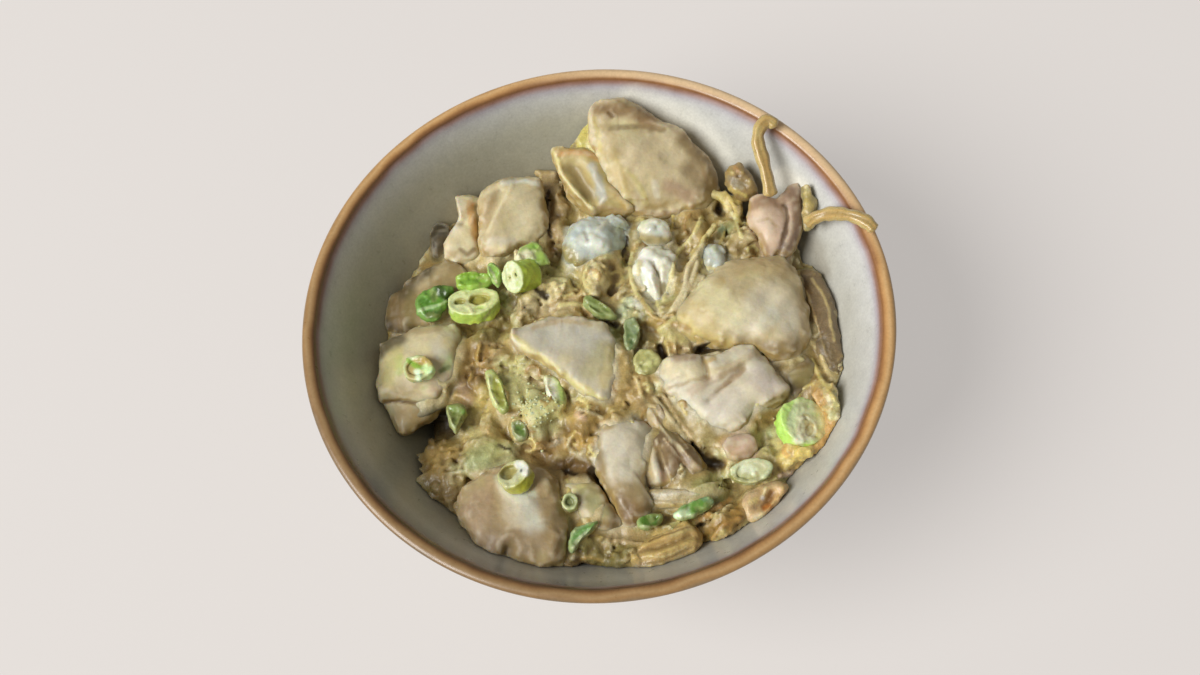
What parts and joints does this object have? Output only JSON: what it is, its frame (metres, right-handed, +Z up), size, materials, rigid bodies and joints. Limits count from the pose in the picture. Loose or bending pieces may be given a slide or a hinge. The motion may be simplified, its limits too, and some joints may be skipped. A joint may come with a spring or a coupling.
{
  "type": "bowl of chicken and egg",
  "caption": "Round glazed stoneware bowl with a foot ring, filled with simmered chicken pieces, soft egg curds, egg white, sliced spring onion and onion strands.",
  "frame": {"origin": "centre of the underside of the bowl's foot ring", "axes": "+Z up out of the bowl, +Y towards the far rim as pictured, +X to the right"},
  "size_m": [0.1648, 0.165, 0.0692],
  "materials": {
    "glaze": "glazed stoneware, grey green with an iron-brown rim",
    "egg": "soft moist egg",
    "chicken": "moist simmered meat",
    "pink_meat": "moist pale pink meat",
    "egg_white": "wet set egg white",
    "onion_pale": "moist pale green spring onion",
    "onion_green": "moist green spring onion leaf",
    "onion_strand": "translucent simmered onion"
  },
  "bodies": {
    "root": {"bowl": "glaze", "egg_bed": "egg", "chicken_back": "chicken", "chicken_back_fold": "chicken", "chicken_centre": "chicken", "chicken_left": "chicken", "chicken_left_back": "chicken", "chicken_left_deep": "chicken", "chicken_near": "chicken", "chicken_near_left": "chicken", "chicken_near_right": "chicken", "chicken_near_shred": "chicken", "chicken_near_small": "chicken", "chicken_right": "chicken", "chicken_right_low": "chicken", "chicken_rim": "pink_meat", "chicken_scrap": "pink_meat", "chicken_upper_left": "chicken", "chicken_upper_left_flap": "chicken", "egg_white_left": "egg_white", "egg_white_middle": "egg_white", "egg_white_right": "egg_white", "egg_white_top": "egg_white", "egg_fold_far": "egg", "egg_fold_near": "egg", "egg_fold_near_right": "egg", "egg_fold_right": "egg", "egg_fold_strip": "egg", "onion_ring_big": "onion_pale", "onion_ring_left": "onion_pale", "onion_ring_near_right": "onion_pale", "onion_ring_right": "onion_pale", "onion_ring_small": "onion_pale", "onion_ring_standing": "onion_pale", "onion_ring_upper": "onion_pale", "onion_leaf_behind": "onion_pale", "onion_leaf_centre": "onion_pale", "onion_leaf_curl": "onion_pale", "onion_leaf_dark": "onion_green", "onion_leaf_dark_heart": "onion_green", "onion_leaf_heart": "onion_pale", "onion_leaf_low": "onion_green", "onion_leaf_lower_left": "onion_green", "onion_leaf_middle": "onion_pale", "onion_leaf_near": "onion_green", "onion_leaf_near_small": "onion_green", "onion_leaf_pale": "onion_pale", "onion_leaf_sliver": "onion_green", "onion_leaf_top": "onion_pale", "onion_strand_far": "onion_strand", "onion_strand_side": "onion_strand"}
  },
  "joints": []
}
